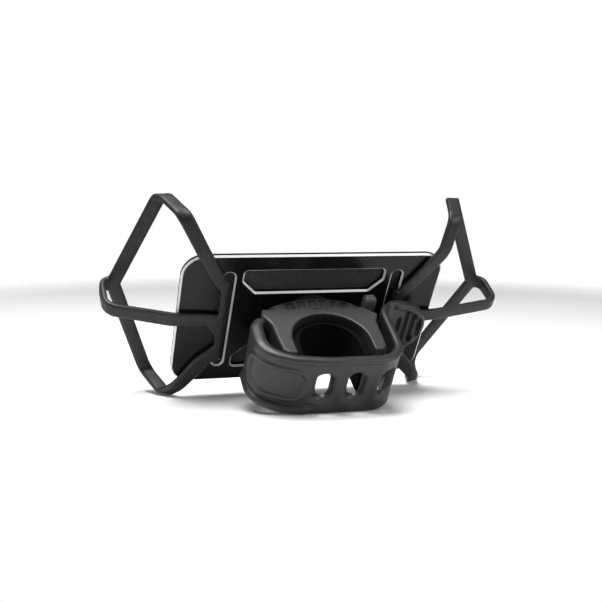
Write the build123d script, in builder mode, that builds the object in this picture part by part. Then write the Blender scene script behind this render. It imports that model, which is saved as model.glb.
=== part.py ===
from build123d import *
import math
import os

os.makedirs("parts", exist_ok=True)

# Phone handlebar mount. Origin at the centre of the clamped handlebar, +X along the
# handlebar, +Y along the tray's long side, +Z from the handlebar to the phone. Millimetres.

# Handlebar and saddle
BORE_R = 11.15          # liner radius on a 22.2 mm handlebar
BORE_HALF = 8.6         # half length of the liner along the handlebar
ARCH_R = 14.2           # saddle arch
ARCH_Z = -1.4           # centre of the saddle arch, below the handlebar's centre
SADDLE_HALF = 12.0      # half width of the saddle along the handlebar
SADDLE_TOP = 16.6
LEG_TIP_Z = -7.6
LINER_GAP = 0.05

# Strap and its hinge pin
STRAP_HALF = 12.5       # half width of the strap
STRAP_T = 2.8           # thickness of the strap's front and hooked side
PIN_Y = -19.2
PIN_Z = 13.6
PIN_R = 1.25
PIN_END = 10.8          # blind end of the pin's hole
BUSH_R = 1.9
EAR_R = 3.0
EAR_CORNER = 2.3        # how far the ear's sharp top corner stands off the pin
EYE_R = 2.8
EYE_HALF = 8.7          # half width of the strap between the ears
STRAP_FRONT = -12.6     # mid thickness of the strap's flat front
STRAP_SIDE = 23.7       # mid thickness of the strap's hooked side
CORNER_R = 9.0
SPLIT_Z = STRAP_FRONT + CORNER_R    # where the free end starts to peel off
SPLIT_GAP = 0.04

# Swivel
COLLAR_TOP = 22.0
HUB_BOTTOM = 22.5
PLATE_Z = 25.5          # clamp side of the tray plate
PLATE_T = 2.0
BOLT_R = 3.0
RUN = 0.05              # radial running clearance
HUB_R = 10.9
BUSH_OUT_R = 4.2
DETENT_R = 9.0          # circle of the click balls
BALL_R = 1.2
SCREW_PCR = 8.5
SCREW_Y = 12.5          # screws of the collar

# Tray and phone
PLATE_X = 58.4
PLATE_Y = 101.0
PLATE_CORNER = 8.5
SLOT_Y = 32.6
SLOT_W = 4.0
SLOT_L = 43.2
EDGE_CHAMFER = 0.65
PAD_T = 2.0
PHONE_BACK = PLATE_Z + PLATE_T + PAD_T
PHONE_T = 12.0
PHONE_X = (-35.8, 43.6)
PHONE_Y = (-74.6, 79.3)
BAND_T = 2.2
BAND_OFF = BAND_T / 2 + 0.1     # band's mid thickness off the phone's faces

PLATE_TOP = PLATE_Z + PLATE_T
PHONE_FRONT = PHONE_BACK + PHONE_T


# ---------------------------------------------------------------- clamp
SADDLE_SIDE = [(17.5, SADDLE_TOP), (21.9, 12.3), (20.0, 8.0), (19.7, 0.0), (19.2, -6.0), (17.6, LEG_TIP_Z)]
HOOK_Z = 1.5
HOOK_H = 3.0
HOOK_TIP_Y = 26.2

with BuildPart() as saddle:
    with BuildSketch(Plane.YZ):
        Polygon(*SADDLE_SIDE, *[(-y, z) for y, z in reversed(SADDLE_SIDE)], align=None)
        fillet(vertices().group_by(Axis.Y)[0] + vertices().group_by(Axis.Y)[-1], 1.2)
        with Locations((PIN_Y, PIN_Z)):
            Circle(EAR_R)
            Rectangle(EAR_CORNER, EAR_R, align=(Align.MAX, Align.MIN))
        with Locations((0, ARCH_Z)):
            Circle(ARCH_R, mode=Mode.SUBTRACT)
        with Locations((0, ARCH_Z)):
            Rectangle(2 * ARCH_R, 20, align=(Align.CENTER, Align.MAX), mode=Mode.SUBTRACT)
    extrude(amount=SADDLE_HALF, both=True)
    # both faces run on into the collar, so their top edges stay sharp
    for face in (faces().sort_by(Axis.X)[-1], faces().sort_by(Axis.X)[0]):
        fillet(face.outer_wire().edges().filter_by(lambda e: e.center().Z < SADDLE_TOP - 0.05), 0.9)
    # hook for the strap, with its lip turned towards the tray
    with BuildSketch(Plane.YZ):
        with BuildLine():
            Polyline(
                (18.5, HOOK_Z - HOOK_H / 2),
                (HOOK_TIP_Y, HOOK_Z - HOOK_H / 2 + 0.8),
                (HOOK_TIP_Y, HOOK_Z + HOOK_H / 2 + 0.9),
                (25.4, HOOK_Z + HOOK_H / 2 + 0.5),
                (25.4, HOOK_Z + HOOK_H / 2),
                (18.5, HOOK_Z + HOOK_H / 2),
                close=True,
            )
        make_face()
    extrude(amount=3.2, both=True)
    # room for the strap's eye between the two ears
    with BuildSketch(Plane.YZ):
        with Locations((PIN_Y, PIN_Z)):
            Circle(EYE_R + 0.5)
            Rectangle(9, 2 * EYE_R + 1.0, align=(Align.MAX, Align.CENTER))
    extrude(amount=EYE_HALF + 0.2, both=True, mode=Mode.SUBTRACT)
    # strap pin, swivel bolt, key of the liner, screw holes
    with BuildSketch(Plane.YZ.offset(PIN_END + 0.05)):
        with Locations((PIN_Y, PIN_Z)):
            Circle(PIN_R)
    extrude(amount=-40, mode=Mode.SUBTRACT)
    with BuildSketch(Plane.XY.offset(8)):
        Circle(BOLT_R)
    extrude(amount=20, mode=Mode.SUBTRACT)
    with BuildSketch(Plane.XY.offset(8)):
        Circle(5.0)
    extrude(amount=15.4 - 8, mode=Mode.SUBTRACT)
    with BuildSketch(Plane.XY.offset(9.8)):
        with Locations((0, SCREW_Y), (0, -SCREW_Y)):
            Circle(1.25)
    extrude(amount=10, mode=Mode.SUBTRACT)
saddle.part.label = "saddle"

with BuildPart() as saddle_pad:
    with BuildSketch(Plane.YZ):
        with Locations((0, ARCH_Z)):
            Circle(ARCH_R - LINER_GAP)
            Rectangle(2 * (ARCH_R - LINER_GAP), 5.4, align=(Align.CENTER, Align.MAX))
        Circle(BORE_R, mode=Mode.SUBTRACT)
        Rectangle(2 * BORE_R, 20, align=(Align.CENTER, Align.MAX), mode=Mode.SUBTRACT)
        with Locations((0, ARCH_Z - 5.4)):
            Rectangle(60, 20, align=(Align.CENTER, Align.MAX), mode=Mode.SUBTRACT)
    extrude(amount=BORE_HALF, both=True)
saddle_pad.part.label = "saddle_pad"

with BuildPart() as strap_pin:
    with BuildSketch(Plane.YZ.offset(-SADDLE_HALF - 0.7)):
        with Locations((PIN_Y, PIN_Z)):
            Circle(PIN_R)
    extrude(amount=PIN_END + SADDLE_HALF + 0.7)
    fillet(edges().filter_by(GeomType.CIRCLE), 0.4)
strap_pin.part.label = "strap_pin"

with BuildPart() as pin_clip:
    with BuildSketch(Plane.YZ.offset(-SADDLE_HALF - 0.02)):
        with Locations((PIN_Y, PIN_Z)):
            Circle(2.2)
            Circle(PIN_R, mode=Mode.SUBTRACT)
    extrude(amount=-0.4)
pin_clip.part.label = "pin_clip"

# ---------------------------------------------------------------- strap
CORNER_C = (STRAP_SIDE - CORNER_R, SPLIT_Z)
OUT_Z = STRAP_FRONT - STRAP_T / 2
IN_Z = STRAP_FRONT + STRAP_T / 2
# side view of the strap's left end: a thick root that thins towards the front
OUTER_PATH = [(-20.6, 16.0), (-27.6, 9.2), (-28.6, -5.2), (-17.8, -12.0), (-3.0, OUT_Z), (CORNER_C[0], OUT_Z)]
OUTER_RADII = [5.0, 9.0, 24.0, 60.0]
INNER_PATH = [(CORNER_C[0], IN_Z), (-5.0, IN_Z), (-18.0, -8.7), (-23.6, -3.4), (-23.8, 7.0), (-21.4, 11.9)]
INNER_RADII = [40.0, 12.0, 7.0, 3.0]
HOLE_X = 11.4
HOLE_L = 6.4
HOLE_R = 3.1
FRONT_HOLES = (-4.4, 7.3)
CORNER_HOLE_DEG = 29
HOOK_HOLE_Z = (-1.1, 9.0)
TAB_Z = 17.8
TAB_T = 3.2
TAB_Y = (29.8, 44.9)
TAB_BEND_R = 6.5
GRIPS = [(33.6, 5.6), (36.5, 8.0), (39.2, 6.8), (41.9, 4.4)]     # place and half length of each grip groove

corner_angle = math.radians(CORNER_HOLE_DEG)
corner_hole_y = CORNER_C[0] + CORNER_R * math.sin(corner_angle)
corner_hole_z = CORNER_C[1] - CORNER_R * math.cos(corner_angle)
corner_hole = Plane(
    origin=(0, corner_hole_y, corner_hole_z),
    x_dir=(1, 0, 0),
    z_dir=(0, math.sin(corner_angle), -math.cos(corner_angle)),
)

with BuildPart() as strap:
    with BuildSketch(Plane.YZ):
        with BuildLine():
            FilletPolyline(*OUTER_PATH, radius=OUTER_RADII)
            CenterArc(CORNER_C, CORNER_R + STRAP_T / 2, -90, 90)
            Line((STRAP_SIDE + STRAP_T / 2, SPLIT_Z), (STRAP_SIDE - STRAP_T / 2, SPLIT_Z))
            CenterArc(CORNER_C, CORNER_R - STRAP_T / 2, 0, -90)
            FilletPolyline(*INNER_PATH, radius=INNER_RADII)
            Line(INNER_PATH[-1], OUTER_PATH[0])
        make_face()
        with Locations((PIN_Y, PIN_Z)):
            Circle(EYE_R)
    extrude(amount=STRAP_HALF, both=True)
    for side in (-1, 1):
        with BuildSketch(Plane.YZ.offset(side * EYE_HALF)):
            with Locations((PIN_Y, PIN_Z)):
                Circle(EAR_R + 0.6)
        extrude(amount=side * 6, mode=Mode.SUBTRACT)
    with BuildSketch(Plane.YZ):
        with Locations((PIN_Y, PIN_Z)):
            Circle(BUSH_R)
    extrude(amount=20, both=True, mode=Mode.SUBTRACT)
    with BuildSketch(Plane.XY.offset(STRAP_FRONT)):
        with Locations(*[(0, y) for y in FRONT_HOLES]):
            RectangleRounded(HOLE_X, HOLE_L, HOLE_R)
    extrude(amount=4, both=True, mode=Mode.SUBTRACT)
    with BuildSketch(corner_hole):
        RectangleRounded(HOLE_X, HOLE_L, HOLE_R)
    extrude(amount=4, both=True, mode=Mode.SUBTRACT)
strap.part.label = "strap"

with BuildPart() as strap_bush:
    with BuildSketch(Plane.YZ):
        with Locations((PIN_Y, PIN_Z)):
            Circle(BUSH_R)
            Circle(PIN_R + RUN, mode=Mode.SUBTRACT)
    extrude(amount=EYE_HALF, both=True)
strap_bush.part.label = "strap_bush"

with BuildPart() as strap_tail:
    with BuildSketch(Plane.YZ):
        with BuildLine():
            FilletPolyline(
                (STRAP_SIDE, SPLIT_Z + SPLIT_GAP),
                (STRAP_SIDE, TAB_Z),
                (TAB_Y[0] + 2, TAB_Z),
                radius=TAB_BEND_R,
            )
        trace(line_width=STRAP_T)
    extrude(amount=STRAP_HALF, both=True)
    with BuildSketch(Plane.XY.offset(TAB_Z - TAB_T / 2)):
        with Locations((0, TAB_Y[0])):
            Ellipse(STRAP_HALF, TAB_Y[1] - TAB_Y[0])
            Rectangle(3 * STRAP_HALF, 40, align=(Align.CENTER, Align.MAX), mode=Mode.SUBTRACT)
    extrude(amount=TAB_T)
    with BuildSketch(Plane.XY.offset(TAB_Z - TAB_T / 2)):
        for y, reach in GRIPS:
            with Locations((0, y)):
                SlotOverall(2 * reach, 1.5)
    extrude(amount=1.1, mode=Mode.SUBTRACT)
    with BuildSketch(Plane.XZ.offset(-STRAP_SIDE)):
        with Locations((0, (HOOK_HOLE_Z[0] + HOOK_HOLE_Z[1]) / 2)):
            RectangleRounded(HOLE_X, HOOK_HOLE_Z[1] - HOOK_HOLE_Z[0], HOLE_R)
    extrude(amount=4, both=True, mode=Mode.SUBTRACT)
strap_tail.part.label = "strap_tail"

# ---------------------------------------------------------------- swivel, fixed side
COLLAR_BOTTOM = SADDLE_TOP
COLLAR_R = 45.0         # both long sides bulge with this radius
COLLAR_ENDS = (-17.6, 23.6)
RIB_STEP = 4.4          # grip scallops of the long sides
RIB_COUNT = 6
RIB_R = 2.2
RIB_DEPTH = 0.9
RIB_SHIFT = 0.5
TAB_CENTRE_Y = 20.6
TAB_CENTRE_Z = 19.0
STUB_W = 4.8
STUB_H = 3.6
STUB_X = (1.0, 15.0)
STUB_TRAVEL = 2.5


def collar_half(y):
    """Half width of the collar at this distance from the swivel's axis."""
    return SADDLE_HALF - COLLAR_R + math.sqrt(COLLAR_R**2 - y**2)


with BuildPart() as swivel_housing:
    with BuildSketch(Plane.XY.offset(COLLAR_BOTTOM)):
        with BuildLine():
            low_y, high_y = COLLAR_ENDS
            low_x, high_x = collar_half(low_y), collar_half(high_y)
            ThreePointArc((low_x, low_y), (SADDLE_HALF, 0), (high_x, high_y))
            Line((high_x, high_y), (-high_x, high_y))
            ThreePointArc((-high_x, high_y), (-SADDLE_HALF, 0), (-low_x, low_y))
            Line((-low_x, low_y), (low_x, low_y))
        make_face()
        fillet(vertices().group_by(Axis.Y)[0], 3)
        fillet(vertices().group_by(Axis.Y)[-1], 1.5)
    extrude(amount=COLLAR_TOP - COLLAR_BOTTOM)
    fillet(faces().sort_by(Axis.Z)[-1].outer_wire().edges(), 0.5)
    # grip scallops along both long sides
    for side in (-1, 1):
        for step in range(RIB_COUNT):
            y = (step - (RIB_COUNT - 1) / 2) * RIB_STEP + RIB_SHIFT
            with Locations((side * (collar_half(y) + RIB_R - RIB_DEPTH), y, COLLAR_BOTTOM + 0.4)):
                Cylinder(RIB_R, 4.2, align=(Align.CENTER, Align.CENTER, Align.MIN), mode=Mode.SUBTRACT)
    # bolt, click ball pockets, screws, release tab channel
    with BuildSketch(Plane.XY.offset(COLLAR_BOTTOM)):
        Circle(BOLT_R)
        with Locations((0, SCREW_Y), (0, -SCREW_Y)):
            Circle(1.6)
    extrude(amount=10, mode=Mode.SUBTRACT)
    with BuildSketch(Plane.XY.offset(19.8)):
        with Locations((0, SCREW_Y), (0, -SCREW_Y)):
            Circle(2.5)
    extrude(amount=10, mode=Mode.SUBTRACT)
    with BuildSketch(Plane.XY.offset(17.6)):
        with Locations((DETENT_R, 0), (-DETENT_R, 0)):
            Circle(BALL_R + 0.02)
    extrude(amount=10, mode=Mode.SUBTRACT)
    with Locations((STUB_X[0] - 6.2, TAB_CENTRE_Y, TAB_CENTRE_Z)):
        Box(40, STUB_W + 0.2, STUB_H + 0.2, align=(Align.MIN, Align.CENTER, Align.CENTER), mode=Mode.SUBTRACT)
swivel_housing.part.label = "swivel_housing"

with BuildPart() as housing_screws:
    for side in (-1, 1):
        with BuildSketch(Plane.XY.offset(19.85)):
            with Locations((0, side * SCREW_Y)):
                Circle(2.4)
        extrude(amount=1.9)
        with BuildSketch(Plane.XY.offset(10)):
            with Locations((0, side * SCREW_Y)):
                Circle(1.25)
        extrude(amount=9.9)
        with BuildSketch(Plane.XY.offset(20.8)):
            with Locations((0, side * SCREW_Y)):
                RegularPolygon(1.2, 6)
        extrude(amount=2, mode=Mode.SUBTRACT)
housing_screws.part.label = "housing_screws"

with BuildPart() as release_tab:
    with Locations((STUB_X[0], TAB_CENTRE_Y, TAB_CENTRE_Z)):
        Box(STUB_X[1] - STUB_X[0], STUB_W, STUB_H, align=(Align.MIN, Align.CENTER, Align.CENTER))
    fillet(edges().filter_by(Axis.X), 0.7)
    fillet(faces().sort_by(Axis.X)[-1].edges(), 1.7)
release_tab.part.label = "release_tab"


def coil_spring(radius, wire_r, pitch, height):
    """A helical spring along +Z, its first turn at the origin's level."""
    with BuildPart() as spring:
        with BuildLine():
            path = Helix(pitch=pitch, height=height, radius=radius)
        with BuildSketch(Plane(origin=path @ 0, z_dir=path % 0)):
            Circle(wire_r)
        sweep(path=path, is_frenet=True)
    return spring.part


SPRING_X = (STUB_X[0] - 6.1, STUB_X[0] - STUB_TRAVEL - 0.3)
release_coil = coil_spring(1.4, 0.2, 0.7, SPRING_X[1] - SPRING_X[0] - 0.5)
with BuildPart() as release_spring:
    with Locations(Location((SPRING_X[0] + 0.25, TAB_CENTRE_Y, TAB_CENTRE_Z), (0, 90, 0))):
        add(release_coil)
release_spring.part.label = "release_spring"

detent_coil = coil_spring(0.85, 0.16, 0.6, 2.0)
with BuildPart() as detent_springs:
    with Locations((DETENT_R, 0, 17.85), (-DETENT_R, 0, 17.85)):
        add(detent_coil)
detent_springs.part.label = "detent_springs"

BALL_Z = HUB_BOTTOM - 1.15
with BuildPart() as detent_balls:
    with Locations((DETENT_R, 0, BALL_Z), (-DETENT_R, 0, BALL_Z)):
        Sphere(BALL_R)
detent_balls.part.label = "detent_balls"

with BuildPart() as pivot_bolt:
    with BuildSketch(Plane.XY.offset(12.95)):
        Circle(4.8)
    extrude(amount=15.35 - 12.95)
    with BuildSketch(Plane.XY.offset(15.3)):
        Circle(BOLT_R)
    extrude(amount=PLATE_TOP + 1.6 - 15.3)
    with BuildSketch(Plane.XY.offset(12.95)):
        RegularPolygon(2.4, 6)
    extrude(amount=1.4, mode=Mode.SUBTRACT)
pivot_bolt.part.label = "pivot_bolt"

with BuildPart() as thrust_washer:
    with BuildSketch(Plane.XY.offset(COLLAR_TOP)):
        Circle(7.0)
        Circle(BOLT_R + RUN, mode=Mode.SUBTRACT)
    extrude(amount=HUB_BOTTOM - COLLAR_TOP - 0.02)
thrust_washer.part.label = "thrust_washer"

RECESS_R = 7.0
RECESS_Z = PLATE_TOP - 0.8
with BuildPart() as wave_washer:
    with BuildSketch(Plane.XY.offset(RECESS_Z + 0.03)):
        Circle(6.2)
        Circle(BOLT_R + RUN, mode=Mode.SUBTRACT)
    extrude(amount=0.4)
wave_washer.part.label = "wave_washer"

with BuildPart() as pivot_nut:
    with BuildSketch(Plane.XY.offset(RECESS_Z + 0.43)):
        RegularPolygon(5.6, 6)
        Circle(BOLT_R, mode=Mode.SUBTRACT)
    extrude(amount=PLATE_TOP + 1.7 - RECESS_Z - 0.43)
    chamfer(faces().sort_by(Axis.Z)[-1].outer_wire().edges(), 0.3)
pivot_nut.part.label = "pivot_nut"

# ---------------------------------------------------------------- tray
GROOVE_W = 2.6
GROOVE_D = 0.3
CLICKS = 8
CUT_HALF = 27.1
CUT_X = (12.7, 17.7, 22.3)
CUT_NARROW = 22.1

with BuildPart() as swivel_hub:
    with BuildSketch(Plane.XY.offset(HUB_BOTTOM)):
        Circle(HUB_R)
        Circle(BUSH_OUT_R, mode=Mode.SUBTRACT)
    extrude(amount=PLATE_Z - HUB_BOTTOM)
    chamfer(faces().sort_by(Axis.Z)[0].outer_wire().edges(), 0.5)
    with BuildSketch(Plane.XY.offset(HUB_BOTTOM)):
        Circle(DETENT_R + GROOVE_W / 2)
        Circle(DETENT_R - GROOVE_W / 2, mode=Mode.SUBTRACT)
    extrude(amount=GROOVE_D, mode=Mode.SUBTRACT)
    with PolarLocations(DETENT_R, CLICKS):
        with Locations((0, 0, BALL_Z)):
            Sphere(BALL_R + 0.3, mode=Mode.SUBTRACT)
    with BuildSketch(Plane.XY.offset(PLATE_Z - 2.2)):
        with PolarLocations(SCREW_PCR, 4, start_angle=45):
            Circle(1.0)
    extrude(amount=5, mode=Mode.SUBTRACT)
swivel_hub.part.label = "swivel_hub"

with BuildPart() as hub_bush:
    with BuildSketch(Plane.XY.offset(HUB_BOTTOM)):
        Circle(BUSH_OUT_R)
        Circle(BOLT_R + RUN, mode=Mode.SUBTRACT)
    extrude(amount=RECESS_Z - HUB_BOTTOM)
hub_bush.part.label = "hub_bush"

with BuildPart() as tray_plate:
    with BuildSketch(Plane.XY.offset(PLATE_Z)):
        RectangleRounded(PLATE_X, PLATE_Y, PLATE_CORNER)
        with Locations((0, SLOT_Y), (0, -SLOT_Y)):
            SlotOverall(SLOT_L, SLOT_W, mode=Mode.SUBTRACT)
    extrude(amount=PLATE_T)
    for side in (-1, 1):
        with BuildSketch(Plane.XY.offset(PLATE_Z)):
            Polygon(
                (side * CUT_X[2], -CUT_HALF), (side * CUT_X[2], CUT_HALF), (side * CUT_X[1], CUT_HALF),
                (side * CUT_X[0], CUT_NARROW), (side * CUT_X[0], -CUT_NARROW), (side * CUT_X[1], -CUT_HALF),
                align=None,
            )
            fillet(vertices(), 1.4)
        extrude(amount=PLATE_T, mode=Mode.SUBTRACT)
    chamfer(faces().sort_by(Axis.Z)[0].edges(), EDGE_CHAMFER)
    chamfer(faces().sort_by(Axis.Z)[-1].outer_wire().edges(), 0.3)
    with BuildSketch(Plane.XY.offset(PLATE_Z)):
        Circle(BUSH_OUT_R)
        with PolarLocations(SCREW_PCR, 4, start_angle=45):
            Circle(1.3)
    extrude(amount=PLATE_T, mode=Mode.SUBTRACT)
    with BuildSketch(Plane.XY.offset(RECESS_Z)):
        Circle(RECESS_R)
    extrude(amount=2, mode=Mode.SUBTRACT)
tray_plate.part.label = "tray_plate"

with BuildPart() as hub_screws:
    for step in range(4):
        angle = math.radians(45 + 90 * step)
        spot = (SCREW_PCR * math.cos(angle), SCREW_PCR * math.sin(angle))
        with BuildSketch(Plane.XY.offset(PLATE_Z - 2.1)):
            with Locations(spot):
                Circle(1.0)
        extrude(amount=2.1 + PLATE_T)
        with BuildSketch(Plane.XY.offset(PLATE_TOP)):
            with Locations(spot):
                Circle(2.0)
        extrude(amount=0.9)
        with BuildSketch(Plane.XY.offset(PLATE_TOP + 0.4)):
            with Locations(spot):
                RegularPolygon(0.9, 6)
        extrude(amount=1, mode=Mode.SUBTRACT)
hub_screws.part.label = "hub_screws"

PAD_X = 54.0
PAD_Y = 97.0
BEAD_Y = (29.6, 35.6)
BEAD_HALF = 20.6
with BuildPart() as phone_pad:
    with BuildSketch(Plane.XY.offset(PLATE_TOP)):
        RectangleRounded(PAD_X, PAD_Y, 7)
        with Locations((0, SLOT_Y), (0, -SLOT_Y)):
            Rectangle(2 * BEAD_HALF + 2.4, BEAD_Y[1] - BEAD_Y[0] + 1.0, mode=Mode.SUBTRACT)
        Circle(RECESS_R + 4, mode=Mode.SUBTRACT)
    extrude(amount=PAD_T)
phone_pad.part.label = "phone_pad"

# ---------------------------------------------------------------- bands
# Each arm is a strip: a flat part on the plate, then straight runs round the phone's edges.
WEB_Z = PLATE_Z - BAND_T / 2
DOWN = (0, 0, -1)
FRONT = (0, 0, 1)
BACK_Z = PHONE_BACK - BAND_OFF
FRONT_Z = PHONE_FRONT + BAND_OFF
TOP_X = PHONE_X[1] + BAND_OFF
RIGHT_TOP_X = TOP_X - 0.9       # the phone's camera end is a little narrower
LOW_X = PHONE_X[0] - BAND_OFF
LEFT_Y = PHONE_Y[0] - BAND_OFF
RIGHT_Y = PHONE_Y[1] + BAND_OFF
WEB_Y = 34.0            # root of the bands, along the outer side of each slot
WEB_W = 2.4
LEFT_WEB = (-18.6, 18.6)
RIGHT_WEB = (-18.6, 13.2)
TONGUE_Y = 33.5         # the bands pass through the slots here
TONGUE_W = 1.8

# (x, y, width) of the arms on the plate, from the slot to just past the plate's edge
LEFT_FLAT = [
    [(15.0, -33.6, 5.0), (20.2, -37.0, 4.8), (30.8, -43.2, 5.0)],
    [(-0.5, -33.2, 11.0), (1.6, -38.6, 5.2), (2.3, -52.2, 5.6)],
    [(-12.0, -34.0, 6.0), (-19.2, -39.6, 6.2), (-30.6, -47.2, 5.4)],
]
RIGHT_FLAT = [
    [(9.0, 33.6, 6.0), (17.2, 39.8, 5.0), (30.8, 48.8, 5.0)],
    [(0, 33.2, 11.0), (0.3, 38.5, 6.0), (0.9, 52.2, 5.0)],
    [(-12.0, 33.6, 6.0), (-17.6, 39.4, 6.2), (-30.6, 51.2, 5.2)],
]
# centre line of each arm round the phone: at its back, at its front edge, at its end
LEFT_RUNS = [
    [(TOP_X, -51.2, BACK_Z), (TOP_X, -57.0, FRONT_Z), (6.5, -71.2, FRONT_Z)],
    [(5.0, LEFT_Y, BACK_Z), (5.8, LEFT_Y, FRONT_Z), (5.4, -69.2, FRONT_Z)],
    [(LOW_X, -51.0, BACK_Z), (LOW_X, -56.5, FRONT_Z), (4.5, -71.2, FRONT_Z)],
]
RIGHT_RUNS = [
    [(RIGHT_TOP_X, 51.5, BACK_Z), (RIGHT_TOP_X, 55.5, FRONT_Z), (4.4, 75.4, FRONT_Z)],
    [(2.6, RIGHT_Y, BACK_Z), (3.0, RIGHT_Y, FRONT_Z), (3.0, 73.9, FRONT_Z)],
    [(LOW_X, 53.6, BACK_Z), (LOW_X, 57.7, FRONT_Z), (2.0, 75.4, FRONT_Z)],
]
RUN_W = 5.2
EDGE_CUT = 3.0          # the arms cut the phone's front edge by this much


def strip_outline(stations):
    """Corners of a tapering strip through (x, y, width) stations, up one side and down the other."""
    left, right = [], []
    for i, (x, y, width) in enumerate(stations):
        x0, y0, _ = stations[max(i - 1, 0)]
        x1, y1, _ = stations[min(i + 1, len(stations) - 1)]
        along = math.hypot(x1 - x0, y1 - y0)
        across = ((y1 - y0) / along * width / 2, (x0 - x1) / along * width / 2)
        if i == 0:
            across = (width / 2 * (1 if across[0] > 0 else -1), 0)
        left.append((x + across[0], y + across[1]))
        right.append((x - across[0], y - across[1]))
    return left + right[::-1]


for name, side, web, flats, runs in (
    ("band_left", -1, LEFT_WEB, LEFT_FLAT, LEFT_RUNS),
    ("band_right", 1, RIGHT_WEB, RIGHT_FLAT, RIGHT_RUNS),
):
    web_centre = (web[0] + web[1]) / 2
    web_length = web[1] - web[0]
    with BuildPart() as band:
        with BuildSketch(Plane.XY.offset(PLATE_Z - BAND_T)):
            with Locations((web_centre, side * WEB_Y)):
                Rectangle(web_length, WEB_W)
            for stations in flats:
                Polygon(*strip_outline(stations), align=None)
        extrude(amount=BAND_T - 0.02)
        for stations, points, away in zip(flats, runs, ((1, 0, 0), (0, side, 0), (-1, 0, 0))):
            back, edge, last = (Vector(*point) for point in points)
            before = edge + (back - edge).normalized() * EDGE_CUT
            after = edge + (last - edge).normalized() * EDGE_CUT
            corners = [Vector(stations[-1][0], stations[-1][1], WEB_Z), back, before, after, last]
            slanted = (away[0], away[1], 1)
            for start, end, outward in zip(corners, corners[1:], (DOWN, away, slanted, FRONT)):
                run = end - start
                facing = Vector(*outward).cross(run).cross(run) * -1
                middle = Plane(origin=(start + end) / 2, x_dir=run, z_dir=facing)
                with Locations(middle):
                    Box(run.length + BAND_T * 0.8, RUN_W, BAND_T)
        # web through the slot, bead behind it, channel of the keeper wire
        with Locations((web_centre, side * TONGUE_Y, (PLATE_Z - 1.0 + PLATE_TOP + 1.0) / 2)):
            Box(web_length - 1.6, TONGUE_W, PLATE_T + 2.0)
        with Locations((0, side * (BEAD_Y[0] + BEAD_Y[1]) / 2, PLATE_TOP + 0.02 + 0.9)):
            Box(2 * BEAD_HALF, BEAD_Y[1] - BEAD_Y[0], 1.8)
        with BuildSketch(Plane.YZ.offset(-BEAD_HALF - 1)):
            with Locations((side * SLOT_Y, PLATE_TOP + 0.9)):
                Circle(0.6)
        extrude(amount=2 * BEAD_HALF + 2, mode=Mode.SUBTRACT)
    band.part.label = name
    export_step(band.part, f"parts/{name}.step")

for name, side in (("keeper_left", -1), ("keeper_right", 1)):
    with BuildPart() as keeper:
        with BuildSketch(Plane.YZ.offset(-BEAD_HALF)):
            with Locations((side * SLOT_Y, PLATE_TOP + 0.9)):
                Circle(0.6)
        extrude(amount=2 * BEAD_HALF)
    keeper.part.label = name
    export_step(keeper.part, f"parts/{name}.step")

PIECES = (
    saddle, saddle_pad, strap_pin, pin_clip, strap, strap_bush, strap_tail, swivel_housing, housing_screws,
    release_tab, release_spring, detent_springs, detent_balls, pivot_bolt, thrust_washer, wave_washer,
    pivot_nut, swivel_hub, hub_bush, tray_plate, hub_screws, phone_pad,
)
for piece in PIECES:
    export_step(piece.part, f"parts/{piece.part.label}.step")
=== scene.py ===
import math
import bmesh
import bpy
import numpy as np
from mathutils import Matrix, Vector


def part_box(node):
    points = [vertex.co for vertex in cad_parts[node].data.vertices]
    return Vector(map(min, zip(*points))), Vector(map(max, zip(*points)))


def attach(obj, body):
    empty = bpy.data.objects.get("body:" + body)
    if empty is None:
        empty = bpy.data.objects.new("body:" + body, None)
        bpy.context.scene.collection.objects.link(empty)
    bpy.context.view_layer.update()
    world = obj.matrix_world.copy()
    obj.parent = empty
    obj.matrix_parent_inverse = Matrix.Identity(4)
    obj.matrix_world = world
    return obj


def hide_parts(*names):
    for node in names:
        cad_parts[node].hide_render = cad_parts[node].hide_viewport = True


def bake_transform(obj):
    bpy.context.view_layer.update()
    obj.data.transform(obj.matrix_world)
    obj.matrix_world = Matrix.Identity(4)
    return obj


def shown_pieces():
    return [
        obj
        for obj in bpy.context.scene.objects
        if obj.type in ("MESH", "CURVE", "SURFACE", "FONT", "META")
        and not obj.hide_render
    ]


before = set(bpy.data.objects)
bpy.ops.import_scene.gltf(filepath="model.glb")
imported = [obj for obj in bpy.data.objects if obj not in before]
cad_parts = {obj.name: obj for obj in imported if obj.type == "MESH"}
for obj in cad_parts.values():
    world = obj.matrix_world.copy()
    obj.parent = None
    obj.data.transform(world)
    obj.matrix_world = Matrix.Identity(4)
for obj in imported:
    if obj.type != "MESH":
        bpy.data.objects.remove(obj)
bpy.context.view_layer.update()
MM = 0.001


def mm(x, y, z):
    """A point given in millimetres, in metres."""
    return Vector((x, y, z)) * MM


# ---------------------------------------------------------------- camera
CAMERA_AT = mm(227.1, -118.1, -256.6)
CAMERA_AHEAD = Vector((-0.58362, 0.30497, 0.75259))
CAMERA_UP = Vector((0.79481, 0.02468, 0.60636))
CAMERA_LENS = 59.8
NEAREST_SEEN = 0.01

ahead = CAMERA_AHEAD.normalized()
right = ahead.cross(CAMERA_UP).normalized()
upward = right.cross(ahead)
camera = bpy.data.objects.new("camera", bpy.data.cameras.new("camera"))
camera.data.lens = CAMERA_LENS
camera.data.clip_start = NEAREST_SEEN
camera_turn = Matrix((right, upward, -ahead)).transposed().to_4x4()
camera.matrix_world = Matrix.Translation(CAMERA_AT) @ camera_turn
bpy.context.collection.objects.link(camera)
bpy.context.scene.camera = camera


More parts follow.
